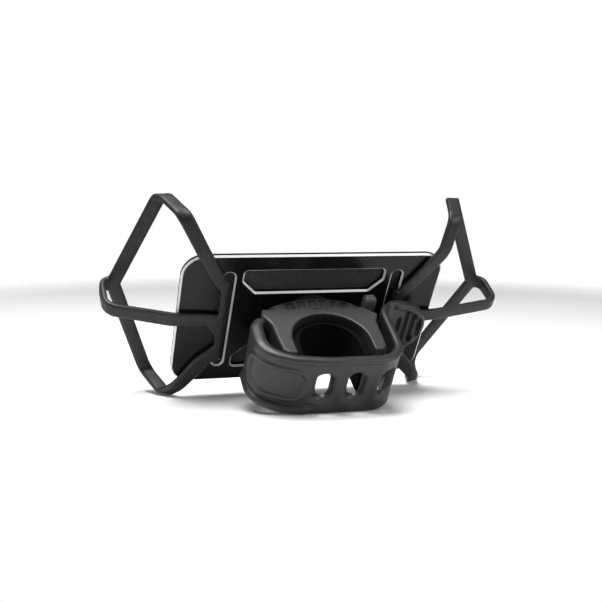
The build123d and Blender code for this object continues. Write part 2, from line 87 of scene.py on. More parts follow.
# ---------------------------------------------------------------- material helpers
class Nodes:
    """A material's node tree, with short calls for the nodes used below."""

    def __init__(self, name):
        self.material = bpy.data.materials.new(name)
        self.material.use_nodes = True
        self.tree = self.material.node_tree
        self.shader = self.tree.nodes["Principled BSDF"]
        self.place = self.add("ShaderNodeTexCoord").outputs["Object"]

    def add(self, kind, **values):
        node = self.tree.nodes.new(kind)
        for key, value in values.items():
            setattr(node, key, value)
        return node

    def link(self, source, target):
        self.tree.links.new(source, target)

    def noise(self, scale, detail=2.0, stretch=None):
        """Noise of about 1/scale metres, stretched by a factor for each axis."""
        node = self.add("ShaderNodeTexNoise")
        node.inputs["Scale"].default_value = scale
        node.inputs["Detail"].default_value = detail
        if stretch:
            mapping = self.add("ShaderNodeMapping")
            mapping.inputs["Scale"].default_value = stretch
            self.link(self.place, mapping.inputs["Vector"])
            self.link(mapping.outputs[0], node.inputs["Vector"])
        else:
            self.link(self.place, node.inputs["Vector"])
        return node.outputs["Fac"]

    def ramp(self, source, *stops):
        """Colours or greys at positions from 0 to 1."""
        node = self.add("ShaderNodeValToRGB")
        elements = node.color_ramp.elements
        while len(elements) < len(stops):
            elements.new(0.5)
        for element, (position, colour) in zip(elements, stops):
            element.position = position
            element.color = (*colour, 1) if isinstance(colour, tuple) else (colour, colour, colour, 1)
        self.link(source, node.inputs["Fac"])
        return node.outputs["Color"]

    def mix(self, share, low, high):
        """Colour low where share is 0 and high where it is 1; either may be a colour or a socket."""
        node = self.add("ShaderNodeMix", data_type="RGBA")
        self.link(share, node.inputs[0])
        for value, socket in ((low, node.inputs[6]), (high, node.inputs[7])):
            if isinstance(value, tuple):
                socket.default_value = (*value, 1)
            else:
                self.link(value, socket)
        return node.outputs[2]

    def math(self, operation, first, second=0.0):
        node = self.add("ShaderNodeMath", operation=operation)
        for value, socket in ((first, node.inputs[0]), (second, node.inputs[1])):
            if isinstance(value, (int, float)):
                socket.default_value = value
            else:
                self.link(value, socket)
        return node.outputs[0]

    def bump(self, *layers):
        """Stacked bumps, each (height socket, strength, height in metres)."""
        normal = None
        for height, strength, distance in layers:
            node = self.add("ShaderNodeBump")
            node.inputs["Strength"].default_value = strength
            node.inputs["Distance"].default_value = distance
            self.link(height, node.inputs["Height"])
            if normal:
                self.link(normal, node.inputs["Normal"])
            normal = node.outputs["Normal"]
        self.link(normal, self.shader.inputs["Normal"])

    def set(self, **values):
        """Constant or linked inputs of the shader."""
        for key, value in values.items():
            socket = self.shader.inputs[key.replace("_", " ")]
            if isinstance(value, bpy.types.NodeSocket):
                self.link(value, socket)
            else:
                socket.default_value = value

    def cloud(self, scale, detail, start, stop):
        """Soft patches of 0 and 1, of about 1/scale metres; noise from start to stop is the slope between."""
        return self.ramp(self.noise(scale, detail), (start, 0.0), (stop, 1.0))

    def uneven(self, scale, low, high):
        """A value that wanders between low and high in patches of about 1/scale metres."""
        return self.ramp(self.noise(scale, 3), (0.3, low), (0.7, high))

    def axes(self, source):
        """The X, Y and Z sockets of a vector."""
        node = self.add("ShaderNodeSeparateXYZ")
        self.link(source, node.inputs[0])
        return node.outputs


# ---------------------------------------------------------------- materials
# Bumps are given as (height, strength, height in metres), and colours are linear.
ARCH_SHADE_REACH = 0.0004         # how far the painted shade runs past the wall of the saddle's arch
# the black and the roughness of the painted shade on the wall of the saddle's arch
ARCH_SHADE_BLACK = (0.002, 0.002, 0.002)
ARCH_SHADE_MATT = (0.95, 0.95, 0.95)
DUST_GREY = (0.12, 0.12, 0.12)
TREAD_PITCH = 0.0022


def painted_arch_shade(n):
    """1 on the wall of the saddle's arch and 0 elsewhere; there the nylon is painted black and matt like the
    liner's rubber, as painted shade for the dark inside of the arch.
    """
    low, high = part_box("saddle_pad")
    radius = (high.y - low.y) / 2
    place = n.axes(n.place)
    above = n.math("MAXIMUM", n.math("SUBTRACT", place["Z"], high.z - radius), 0.0)
    squares = n.math("ADD", n.math("MULTIPLY", place["Y"], place["Y"]), n.math("MULTIPLY", above, above))
    return n.math("LESS_THAN", n.math("SQRT", squares), radius + ARCH_SHADE_REACH)


def moulded_plastic(name, dark, light, rough, grain=5200, shine=0.35, shade_in_arch=False):
    """Glass-filled nylon with a spark-eroded grain and slightly polished edges."""
    n = Nodes(name)
    base = n.mix(n.cloud(55, 4, 0.35, 0.7), dark, light)
    edge = n.ramp(n.add("ShaderNodeNewGeometry").outputs["Pointiness"], (0.5, 0.0), (0.58, 1.0))
    worn = tuple(min(1.0, value * 1.7 + 0.01) for value in light)
    colour = n.mix(edge, base, worn)
    matt = n.uneven(900, rough - 0.06, rough + 0.08)
    # on the saddle, the arch's inner wall is painted black and matt: painted shade for the dark inside of the
    # arch
    if shade_in_arch:
        skin = painted_arch_shade(n)
        colour = n.mix(skin, colour, ARCH_SHADE_BLACK)
        matt = n.mix(skin, matt, ARCH_SHADE_MATT)
    n.set(Base_Color=colour, Roughness=matt, Specular_IOR_Level=shine)
    n.bump((n.noise(grain, 2), 0.35, 0.00006), (n.noise(700, 2), 0.1, 0.00008))
    return n.material


def rubber(name, dark, light, rough, dust=0.12, shine=0.35):
    """Moulded rubber or silicone: matt bloom in patches, fine grain and specks of dust."""
    n = Nodes(name)
    base = n.mix(n.cloud(90, 5, 0.35, 0.75), dark, light)
    specks = n.ramp(n.noise(2600, 1), (0.71, 0.0), (0.76, dust))
    n.set(Base_Color=n.mix(specks, base, DUST_GREY))
    n.set(Roughness=n.uneven(400, rough - 0.07, rough + 0.08), Specular_IOR_Level=shine)
    n.bump((n.noise(3800, 2), 0.3, 0.00005), (n.noise(260, 3), 0.12, 0.00012))
    return n.material


def anodised_plate(name):
    """Black anodised sheet; the chamfers round its outer face were cut bright after the anodising."""
    n = Nodes(name)
    tilt = n.axes(n.add("ShaderNodeNewGeometry").outputs["True Normal"])["Z"]
    steep = n.math("ABSOLUTE", tilt)
    sloped = n.math("MULTIPLY", n.math("GREATER_THAN", steep, 0.3), n.math("LESS_THAN", steep, 0.93))
    bright = n.math("MULTIPLY", sloped, n.math("LESS_THAN", tilt, 0.0))
    black = n.mix(n.cloud(40, 4, 0.3, 0.75), (0.003, 0.0031, 0.0034), (0.0045, 0.0047, 0.0052))
    silver = n.mix(n.noise(1500, 2), (0.56, 0.57, 0.58), (0.72, 0.72, 0.73))
    matt = n.ramp(n.noise(2400, 2), (0.3, 0.2), (0.7, 0.28))
    n.set(Base_Color=n.mix(bright, black, silver), Metallic=n.math("MULTIPLY", bright, 0.2))
    n.set(Roughness=n.mix(bright, matt, (0.42, 0.42, 0.42)), Specular_IOR_Level=0.22)
    n.bump((n.noise(7000, 1), 0.12, 0.00003), (n.noise(1200, 2), 0.05, 0.00004))
    return n.material


def brushed_metal(name, colour, rough):
    """Turned or drawn metal with fine tool marks."""
    n = Nodes(name)
    marks = n.noise(2500, 2, stretch=(1, 1, 12))
    lighter = tuple(min(1.0, value * 1.25) for value in colour)
    n.set(Base_Color=n.mix(marks, colour, lighter), Metallic=1.0)
    n.set(Roughness=n.ramp(marks, (0.3, rough - 0.06), (0.7, rough + 0.1)))
    n.bump((marks, 0.15, 0.00003))
    return n.material


def ribbed_rubber(name):
    """Rubber sheet with a raised diamond tread that grips the phone's back."""
    n = Nodes(name)
    x, y, _ = n.axes(n.place)
    step = math.tau / TREAD_PITCH
    first = n.math("SINE", n.math("MULTIPLY", n.math("ADD", x, y), step))
    second = n.math("SINE", n.math("MULTIPLY", n.math("SUBTRACT", x, y), step))
    tread = n.ramp(n.math("MAXIMUM", first, second), (0.55, 0.0), (0.8, 1.0))
    n.set(Base_Color=n.mix(n.cloud(70, 4, 0.3, 0.7), (0.014, 0.014, 0.0145), (0.024, 0.024, 0.025)))
    n.set(Roughness=n.uneven(500, 0.62, 0.78))
    n.bump((tread, 0.7, 0.00025), (n.noise(4200, 2), 0.3, 0.00004))
    return n.material


NYLON_TONES = ((0.018, 0.0188, 0.0196), (0.026, 0.027, 0.0284))
TAB_TONES = ((0.026, 0.0264, 0.0275), (0.036, 0.0365, 0.038))
# The hub is near-black and dull, far darker than the other nylon: painted shade where it sits in shadow
# behind the collar.
HUB_SHADE_TONES = ((0.002, 0.002, 0.0021), (0.0035, 0.0035, 0.0037))
NYLON = moulded_plastic("nylon", *NYLON_TONES, 0.42)
# the saddle's nylon carries painted shade on the wall of its arch
SADDLE_NYLON = moulded_plastic("saddle_nylon", *NYLON_TONES, 0.42, shade_in_arch=True)
TAB_PLASTIC = moulded_plastic("tab_plastic", *TAB_TONES, 0.4, grain=7000)
HUB_PAINTED_SHADE = moulded_plastic("hub_painted_shade", *HUB_SHADE_TONES, 0.7, shine=0.06)
LOW_FRICTION = moulded_plastic("low_friction", (0.6, 0.6, 0.57), (0.7, 0.7, 0.67), 0.5)
# The liner's rubber is black in its own right, and is made near-black and dull beyond that: painted shade
# inside the saddle's arch.
LINER_WITH_SHADE = rubber("liner_rubber", (0.003, 0.003, 0.0031), (0.0055, 0.0053, 0.0052), 0.8, dust=0.02, shine=0.03)
PAD = ribbed_rubber("pad_rubber")
STRAP_RUBBER = rubber("strap_rubber", (0.013, 0.0133, 0.0139), (0.019, 0.0194, 0.0203), 0.4, shine=0.36)
SILICONE = rubber("silicone", (0.008, 0.0082, 0.0088), (0.013, 0.0133, 0.0142), 0.46)
ANODISED = anodised_plate("anodised")
STEEL = brushed_metal("steel", (0.42, 0.42, 0.43), 0.3)
BRONZE = brushed_metal("bronze", (0.45, 0.3, 0.12), 0.34)

NODE_MATERIALS = {
    SADDLE_NYLON: ["saddle"],
    NYLON: ["swivel_housing"],
    TAB_PLASTIC: ["release_tab"],
    HUB_PAINTED_SHADE: ["swivel_hub"],
    LOW_FRICTION: ["thrust_washer", "strap_bush"],
    LINER_WITH_SHADE: ["saddle_pad"],
    PAD: ["phone_pad"],
    ANODISED: ["tray_plate"],
    BRONZE: ["hub_bush"],
    STEEL: [
        "housing_screws", "pivot_bolt", "wave_washer", "pivot_nut", "detent_balls", "detent_springs",
        "strap_pin", "pin_clip", "release_spring", "hub_screws", "keeper_left", "keeper_right",
    ],
}
for material, names in NODE_MATERIALS.items():
    for name in names:
        for material_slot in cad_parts[name].material_slots:
            material_slot.material = material


# ---------------------------------------------------------------- mesh helpers
STRAIGHT = 1e-4             # a corner that turns less than this, in radians, is not rounded
MOST_TRIM = 0.48            # most of a run that one rounded corner may take


def new_object(name, verts, faces):
    """A mesh object from points in metres."""
    mesh = bpy.data.meshes.new(name)
    mesh.from_pydata([tuple(v) for v in verts], [], faces)
    mesh.validate()
    made = bpy.data.objects.new(name, mesh)
    bpy.context.collection.objects.link(made)
    return made


def apply_modifiers(piece):
    """Replaces the piece's mesh with what its modifiers make of it."""
    depsgraph = bpy.context.evaluated_depsgraph_get()
    result = bpy.data.meshes.new_from_object(piece.evaluated_get(depsgraph))
    piece.modifiers.clear()
    piece.data = result


def finish_piece(piece, material):
    """Gives a piece smooth shading and its one material."""
    piece.data.materials.clear()
    piece.data.materials.append(material)
    piece.data.shade_smooth()


def rounded_path(corners, radii, step):
    """Points along a polyline whose inner corners are rounded, about step apart, and the run each lies on.

    The second value counts runs: 1.5 is halfway round the corner between runs 1 and 2."""
    corners = [np.array(c, float) for c in corners]
    points, runs = [], []
    start = corners[0]
    for i in range(1, len(corners)):
        last = i == len(corners) - 1
        run = corners[i] - corners[i - 1]
        length = np.linalg.norm(run)
        ahead_dir = run / length
        trim = 0.0
        if not last:
            after = corners[i + 1] - corners[i]
            after_length = np.linalg.norm(after)
            after_dir = after / after_length
            turn = math.acos(max(-1.0, min(1.0, float(ahead_dir @ after_dir))))
            trim = min(radii[i - 1] * math.tan(turn / 2), MOST_TRIM * length, MOST_TRIM * after_length)
        end = corners[i] - ahead_dir * trim
        count = max(1, round(np.linalg.norm(end - start) / step))
        for k in range(count):
            points.append(start + (end - start) * k / count)
            runs.append(i - 1)
        if last:
            points.append(end)
            runs.append(i - 1)
            break
        leave = corners[i] + after_dir * trim
        if turn < STRAIGHT:
            start = leave
            continue
        radius = trim / math.tan(turn / 2)
        count = max(2, round(radius * turn / step))
        across = after_dir - ahead_dir * float(after_dir @ ahead_dir)
        across = across / np.linalg.norm(across)
        centre = end + across * radius
        for k in range(count):
            angle = turn * k / count
            points.append(centre - across * radius * math.cos(angle) + ahead_dir * radius * math.sin(angle))
            runs.append(i - 1 + k / count)
        start = leave
    return np.array(points), np.array(runs)


def smoothstep(t):
    """0 below 0 and 1 above 1, with a smooth rise between."""
    t = np.clip(t, 0.0, 1.0)
    return t * t * (3 - 2 * t)


# ---------------------------------------------------------------- strap
# The strap is drawn flat, u along it and v across it, with its holes, then laid on its curved path.
# Its side view, in Y and Z: from the pin over the root, across the front, up past the hook to the pull tab.
PIN_AT = (-19.2, 13.6)
STRAP_FRONT_Z = -12.6
HOOK_SIDE_Y = 23.7
TAB_Z = 17.8
STRAP_PATH = [
    PIN_AT, (-25.6, 9.4), (-26.15, -4.3), (-17.9, -10.4), (-4.0, STRAP_FRONT_Z),
    (HOOK_SIDE_Y, STRAP_FRONT_Z), (24.8, TAB_Z), (44.85, TAB_Z),
]
STRAP_RADII = [6.0, 9.0, 20.0, 50.0, 9.0, 6.5]
STRAP_HALF = 12.45
STRAP_T = 2.8
ROOT_T = 4.3
ROOT_THINNING = 0.8         # how much thinner the root gets again where it meets the eye
TAB_T = 3.1
NECK_HALF = 8.6
NECK_END = 3.7
EYE_R = 2.8
EYE_BORE_R = 1.92
GRID = 0.4
SEAM = 0.02                 # the grid stops this short of the tab's tip, where its width is nothing
EDGE_R = 0.9
HOLE_HALF = (3.3, 6.1)
HOOKED_HOLE_HALF = (5.0, 6.1)
HOLE_CORNER = 3.2
HOLE_EDGE_R = 0.3
HOLE_TAPER = 0.9            # how much smaller each hole is on the handlebar's side
TAPER_REACH = 2.0           # how far from a hole its taper moves the inner face
SNAP_ROUNDS = 6
SNAP_REACH = 2.5            # grid points up to this far inside a hole are drawn out to its edge
PROBE = 0.01                # the step for the slope of a distance
ROOT_BEVEL = 1.4            # extra rounding of the thick root's outer edges
TAB_END = 15.0              # length of the pull tab's round end
TAB_LEAN = 0.11

# Beads and grooves of the outer face: height, distance from the edge that they follow, half width.
UPPER_BEAD = (0.5, 1.1, 1.2)
LOWER_BEAD = (0.15, 1.6, 1.8)
LIP_BEAD = (1.15, 1.6, 1.8)
LIP_GROOVE = (0.95, 3.8, 0.9)
OVAL_BEAD = (0.55, 0.1, 0.9)
TAB_BEAD = (0.9, 1.3, 1.3)
OVAL_HALF = (12.0, 6.6)
OVAL_CORNER = 6.3
OVAL_RISE = 0.4             # how far the oval panel sits above the strap's middle line
OVAL_SINK = 0.35
OVAL_SLOPE = 0.8
RIM_START = 7.0             # how far along the strap its rims begin
LIP_REACH = 17.0            # how far past the oval's centre the heavy lip runs
DISH_DEPTH = 0.3            # how deep the face is dished round a hole, and how far out from its edge
DISH_REACH = 0.6
LOW_DISH_DEPTH = 0.6        # what both gain at a hole's lower end
LOW_DISH_REACH = 2.0
GRIP_HALF_W = 0.8
GRIP_DEPTH = 1.3
GRIPS_AT = [(33.6, 5.6), (36.5, 8.0), (39.2, 6.8), (41.9, 4.4)]    # Y and half length of each grip groove

path_points, _ = rounded_path(STRAP_PATH, STRAP_RADII, GRID)
path_u = np.concatenate([[0], np.cumsum(np.linalg.norm(np.diff(path_points, axis=0), axis=1))])
STRAP_LENGTH = path_u[-1]


def u_near(y, z):
    """Distance along the strap of the place nearest to a point of its side view."""
    return path_u[np.argmin(np.linalg.norm(path_points - np.array((y, z)), axis=1))]


# The third hole sits on the bend between the front and the hook's side.
BEND_AT = np.array((14.7, -3.6))
BEND_RADIUS = 9.0
HOLE_TURN = math.radians(29)
bend_hole = BEND_AT + BEND_RADIUS * np.array((math.sin(HOLE_TURN), -math.cos(HOLE_TURN)))
STRAP_HOLES = [
    (u_near(-4.4, STRAP_FRONT_Z), HOLE_HALF),
    (u_near(7.3, STRAP_FRONT_Z), HOLE_HALF),
    (u_near(*bend_hole), HOLE_HALF),
    (u_near(HOOK_SIDE_Y, 3.95), HOOKED_HOLE_HALF),
]
ROOT_END = u_near(-26.15, -1.0)
FRONT_START = u_near(-17.9, -10.0)
SPLIT_U = u_near(HOOK_SIDE_Y, -3.6)
OVAL_U = u_near(-22.2, -9.2)
TAB_START = u_near(27.0, TAB_Z)
TAB_FLAT = u_near(29.0, TAB_Z)
GRIPS = [(u_near(y, TAB_Z), reach) for y, reach in GRIPS_AT]


def box_distance(u, v, half_u, half_v, corner):
    """Signed distance to a rounded rectangle about the origin, negative inside."""
    du = np.abs(u) - (half_u - corner)
    dv = np.abs(v) - (half_v - corner)
    outside = np.hypot(np.maximum(du, 0), np.maximum(dv, 0))
    return outside + np.minimum(np.maximum(du, dv), 0) - corner


def hole_distance(u, v):
    """Signed distance to the nearest hole of the strap, negative inside one."""
    return np.min([box_distance(u - at, v, *half, HOLE_CORNER) for at, half in STRAP_HOLES], axis=0)


def half_width(u):
    """Half width of the strap: a neck between the saddle's ears, then full width, then a round end."""
    neck = smoothstep((u - NECK_END) / 1.2)
    width = NECK_HALF + (STRAP_HALF - NECK_HALF) * neck
    into_end = np.clip((u - (STRAP_LENGTH - TAB_END)) / TAB_END, 0, 1)
    return width * np.sqrt(np.maximum(1 - into_end**2, 0))


def edge_distance(u, v):
    """How far a point of the strap lies inside its outline."""
    into_end = np.clip((u - (STRAP_LENGTH - TAB_END)) / TAB_END, 0, 1)
    in_end = STRAP_HALF * (1 - np.hypot(v / STRAP_HALF, into_end))
    return np.where(into_end > 0, in_end, half_width(u) - np.abs(v))


def bead(distance, height, centre, half):
    """A rounded bead at this distance from an edge."""
    return height * np.sqrt(np.maximum(1 - ((distance - centre) / half) ** 2, 0))


def root_share(u):
    """1 at the strap's thick root, falling to 0 where its front starts."""
    return smoothstep((FRONT_START - u) / (FRONT_START - ROOT_END))


def half_thickness(u):
    """Half the strap's plain thickness: a thick root, a thinner front, a thicker pull tab."""
    root = (ROOT_T - STRAP_T) * root_share(u) - ROOT_THINNING * smoothstep((7.0 - u) / 3.5)
    tab = (TAB_T - STRAP_T) * smoothstep((u - TAB_START) / 3.0)
    return (STRAP_T + root + tab) / 2


def strap_relief(u, v):
    """Height of the outer face over the plain strap: rims, oval panel, dished holes, grip grooves."""
    body = smoothstep((u - RIM_START) / 3) * smoothstep((SPLIT_U - u) / 4)
    high = bead(STRAP_HALF - v, *UPPER_BEAD) * body
    # along the lower edge a heavy lip runs as far as the oval and then thins out
    lip = smoothstep((OVAL_U + LIP_REACH - u) / 6) * body
    high += (bead(STRAP_HALF + v, *LOWER_BEAD) + bead(STRAP_HALF + v, *LIP_BEAD) * lip) * body
    high -= bead(STRAP_HALF + v, *LIP_GROOVE) * lip
    oval = box_distance(u - OVAL_U, v - OVAL_RISE, *OVAL_HALF, OVAL_CORNER)
    high += bead(oval, *OVAL_BEAD) * body
    high -= OVAL_SINK * smoothstep(-(oval + 0.6) / OVAL_SLOPE) * body
    for at, half in STRAP_HOLES:
        ring = box_distance(u - at, v, *half, HOLE_CORNER)
        below = smoothstep((-v - half[1] + 2.6) / 2.2)
        reach = DISH_REACH + LOW_DISH_REACH * below
        high -= (DISH_DEPTH + LOW_DISH_DEPTH * below) * smoothstep((reach - ring) / reach)
    for at, reach in GRIPS:
        groove = box_distance(u - at, v, GRIP_HALF_W, reach, GRIP_HALF_W - 0.01)
        high -= GRIP_DEPTH * smoothstep((0.15 - groove) / 0.45)
    return high + bead(edge_distance(u, v), *TAB_BEAD) * smoothstep((u - TAB_FLAT) / 3.0)


def rim_drop(distance, radius):
    """How far a face falls away near an edge that is rounded with this radius."""
    inside = np.clip(distance, 0, radius)
    return radius - np.sqrt(np.maximum(radius**2 - (radius - inside) ** 2, 0))


def snap_to_holes(u, v):
    """Draws grid points that lie just inside a hole out to its edge."""
    for _ in range(SNAP_ROUNDS):
        for at, half in STRAP_HOLES:
            away = box_distance(u - at, v, *half, HOLE_CORNER)
            inside = (away < 0) & (away > -SNAP_REACH)
            slope_u = (box_distance(u - at + PROBE, v, *half, HOLE_CORNER) - away) / PROBE
            slope_v = (box_distance(u - at, v + PROBE, *half, HOLE_CORNER) - away) / PROBE
            length = np.maximum(np.hypot(slope_u, slope_v), 1e-6)
            u = np.where(inside, u - away * slope_u / length, u)
            v = np.where(inside, v - away * slope_v / length, v)
    return u, v


def narrowed(u, v):
    """How far points of the inner face move so that the holes narrow towards the handlebar."""
    move_u, move_v = np.zeros_like(u), np.zeros_like(v)
    for at, half in STRAP_HOLES:
        share = smoothstep(1 - box_distance(u - at, v, *half, HOLE_CORNER) / TAPER_REACH)
        move_u += HOLE_TAPER * share * (at - u) / half[0]
        move_v -= HOLE_TAPER * share * v / half[1]
    return move_u, move_v


def lay_on_path(u, v, height):
    """Points at this height over the strap's curved path, v across it."""
    tangent = np.gradient(path_points, path_u, axis=0)
    y, z = (np.interp(u, path_u, path_points[:, k]) for k in (0, 1))
    along_y, along_z = (np.interp(u, path_u, tangent[:, k]) for k in (0, 1))
    length = np.hypot(along_y, along_z)
    return np.stack([v, y + along_z / length * height, z - along_y / length * height], -1)


def strap_mesh():
    """Two height-field faces over a grid with holes, joined by walls along every edge."""
    u_count = round(STRAP_LENGTH / GRID) + 1
    v_count = round(2 * STRAP_HALF / GRID) + 1
    u, share = np.meshgrid(
        np.linspace(0, STRAP_LENGTH - SEAM, u_count), np.linspace(-1, 1, v_count), indexing="ij"
    )
    v = share * half_width(u)
    keep = hole_distance(u, v) > 0
    cell = keep[:-1, :-1] | keep[1:, :-1] | keep[:-1, 1:] | keep[1:, 1:]
    used = np.zeros(u.shape, bool)
    for du in (0, 1):
        for dv in (0, 1):
            used[du:u_count - 1 + du, dv:v_count - 1 + dv] |= cell
    index = -np.ones(u.shape, int)
    index[used] = np.arange(used.sum())

    u, v = snap_to_holes(u, v)
    edge = edge_distance(u, v)
    hole_drop = rim_drop(np.maximum(hole_distance(u, v), 0), HOLE_EDGE_R)
    outer = half_thickness(u) + strap_relief(u, v) - hole_drop
    outer -= rim_drop(edge, EDGE_R + ROOT_BEVEL * root_share(u))
    inner = -half_thickness(u) + rim_drop(edge, EDGE_R) + hole_drop
    move_u, move_v = narrowed(u, v)
    lean = TAB_LEAN * np.maximum(u - TAB_START, 0)       # the soft pull tab leans a little
    outside = lay_on_path(u, v + lean, outer)[used]
    inside = lay_on_path(u + move_u, v + move_v + lean, inner)[used]

    total = len(outside)
    faces, border = [], {}
    for i, k in zip(*np.nonzero(cell)):
        loop = [int(index[at]) for at in ((i, k), (i + 1, k), (i + 1, k + 1), (i, k + 1))]
        faces.append(loop)
        faces.append([n + total for n in reversed(loop)])
        for a, b in zip(loop, loop[1:] + loop[:1]):
            if (b, a) in border:
                del border[(b, a)]
            else:
                border[(a, b)] = True
    for a, b in border:
        faces.append([b, a, a + total, b + total])
    return np.concatenate([outside, inside]) * MM, faces


def tube(inner_r, outer_r, half, centre, sides=64):
    """A ring along X, its outer edges rounded."""
    edge = [(half, inner_r), (half, outer_r - 0.5), (half - 0.15, outer_r - 0.15), (half - 0.5, outer_r)]
    profile = [(-x, r) for x, r in edge] + edge[::-1]
    verts, faces = [], []
    for k in range(sides):
        angle = math.tau * k / sides
        for x, r in profile:
            y = centre[0] + r * math.cos(angle)
            z = centre[1] + r * math.sin(angle)
            verts.append((x * MM, y * MM, z * MM))
    count = len(profile)
    for k in range(sides):
        after = (k + 1) % sides
        for i in range(count):
            n = (i + 1) % count
            faces.append([k * count + i, after * count + i, after * count + n, k * count + n])
    return verts, faces


strap_piece = new_object("strap_skin", *strap_mesh())
eye = new_object("strap_eye", *tube(EYE_BORE_R, EYE_R, NECK_HALF, PIN_AT))
for shell in (eye, strap_piece):
    cleaner = bmesh.new()
    cleaner.from_mesh(shell.data)
    bmesh.ops.remove_doubles(cleaner, verts=cleaner.verts, dist=1e-6)
    bmesh.ops.recalc_face_normals(cleaner, faces=cleaner.faces)
    cleaner.to_mesh(shell.data)
    cleaner.free()
# the strap's end is cut away inside the eye, and the two are one moulding
bore = new_object("strap_bore", *tube(0.0, EYE_BORE_R, NECK_HALF + 1, PIN_AT))
for other, operation in ((bore, "DIFFERENCE"), (eye, "UNION")):
    modifier = strap_piece.modifiers.new(operation.lower(), "BOOLEAN")
    modifier.object = other
    modifier.operation = operation
    modifier.solver = "EXACT"
apply_modifiers(strap_piece)
for spare in (bore, eye):
    bpy.data.objects.remove(spare)
finish_piece(strap_piece, STRAP_RUBBER)
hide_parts("strap", "strap_tail")
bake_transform(strap_piece)

# ---------------------------------------------------------------- bands
BAND_T = 2.2
BAND_GAP = 0.1              # between a band and the phone that it holds
PHONE_T = 12.0
PHONE_LOW = (-35.8, -74.6)  # X and Y of the phone's sides
PHONE_HIGH = (43.6, 79.3)
plate_low, plate_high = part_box("tray_plate")
PLATE_Z = plate_low.z / MM
PLATE_TOP = plate_high.z / MM
PHONE_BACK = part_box("phone_pad")[1].z / MM
BAND_OFF = BAND_T / 2 + BAND_GAP
WEB_Z = PLATE_Z - BAND_T / 2
BACK_Z = PHONE_BACK - BAND_OFF
FRONT_Z = PHONE_BACK + PHONE_T + BAND_OFF
TOP_X = PHONE_HIGH[0] + BAND_OFF
RIGHT_TOP_X = TOP_X - 0.9   # the right band pulls a little tighter over the phone's top
LOW_X = PHONE_LOW[0] - BAND_OFF
LEFT_Y = PHONE_LOW[1] - BAND_OFF
RIGHT_Y = PHONE_HIGH[1] + BAND_OFF
ARM_RADII = [12.0, 12.0, 5.0, 5.0]
ARM_STEP = 0.7
ROOT_Y = 32.9               # the bands' roots stop here, so the inner chamfer of each slot shows
WEB_W = 2.3
TONGUE_Y = (32.6, 34.4)
TONGUE_INSET = 0.8
BEAD_Y = (29.6, 35.6)
BEAD_HALF = 20.6
BEAD_T = 1.8
CLEARANCE = 0.05            # between the plate and the silicone that lies against it
SECTION_SIDES = 24
SECTION_POWER = 5.0         # how square an arm's section is: 2 would be an ellipse
VOXEL = 0.32
BACKWARD = (0, 0, -1)
FORWARD = (0, 0, 1)
UPWARD = (1, 0, 0)
DOWNWARD = (-1, 0, 0)
LEFTWARD = (0, -1, 0)
RIGHTWARD = (0, 1, 0)

# Each arm has the outward direction of the phone's side that it wraps, and stations of x, y, z and width:
# three on the way across the plate, two round the phone's side, and one where the arms meet in front.
LEFT_ARMS = [
    (UPWARD, [
        (15.0, -33.8, WEB_Z, 3.6), (20.2, -37.0, WEB_Z, 4.8), (30.8, -43.2, WEB_Z, 5.0),
        (TOP_X, -51.2, BACK_Z, 5.2), (TOP_X, -57.0, FRONT_Z, 5.2), (6.5, -71.2, FRONT_Z, 5.2),
    ]),
    (LEFTWARD, [
        (-0.5, -33.4, WEB_Z, 11.0), (1.6, -38.6, WEB_Z, 5.4), (2.3, -52.2, WEB_Z, 5.6),
        (5.0, LEFT_Y, BACK_Z, 5.2), (5.8, LEFT_Y, FRONT_Z, 5.6), (5.4, -69.2, FRONT_Z, 7.0),
    ]),
    (DOWNWARD, [
        (-12.0, -34.0, WEB_Z, 3.8), (-19.2, -39.6, WEB_Z, 6.2), (-30.6, -47.2, WEB_Z, 5.4),
        (LOW_X, -51.0, BACK_Z, 5.2), (LOW_X, -56.5, FRONT_Z, 5.2), (4.5, -71.2, FRONT_Z, 5.2),
    ]),
]
RIGHT_ARMS = [
    (UPWARD, [
        (9.0, 33.8, WEB_Z, 3.8), (17.2, 39.8, WEB_Z, 5.0), (30.8, 48.8, WEB_Z, 5.0),
        (RIGHT_TOP_X, 51.5, BACK_Z, 5.2), (RIGHT_TOP_X, 55.5, FRONT_Z, 5.2), (4.4, 75.4, FRONT_Z, 5.2),
    ]),
    (RIGHTWARD, [
        (0, 33.4, WEB_Z, 11.0), (0.3, 38.5, WEB_Z, 6.0), (0.9, 52.2, WEB_Z, 5.0),
        (2.6, RIGHT_Y, BACK_Z, 4.9), (3.0, RIGHT_Y, FRONT_Z, 5.4), (3.0, 73.9, FRONT_Z, 7.0),
    ]),
    (DOWNWARD, [
        (-12.0, 33.8, WEB_Z, 3.8), (-17.6, 39.4, WEB_Z, 6.2), (-30.6, 51.2, WEB_Z, 5.2),
        (LOW_X, 53.6, BACK_Z, 5.1), (LOW_X, 57.7, FRONT_Z, 5.1), (2.0, 75.4, FRONT_Z, 5.2),
    ]),
]
LEFT_WEB = (-18.6, 18.6)
RIGHT_WEB = (-18.6, 13.2)


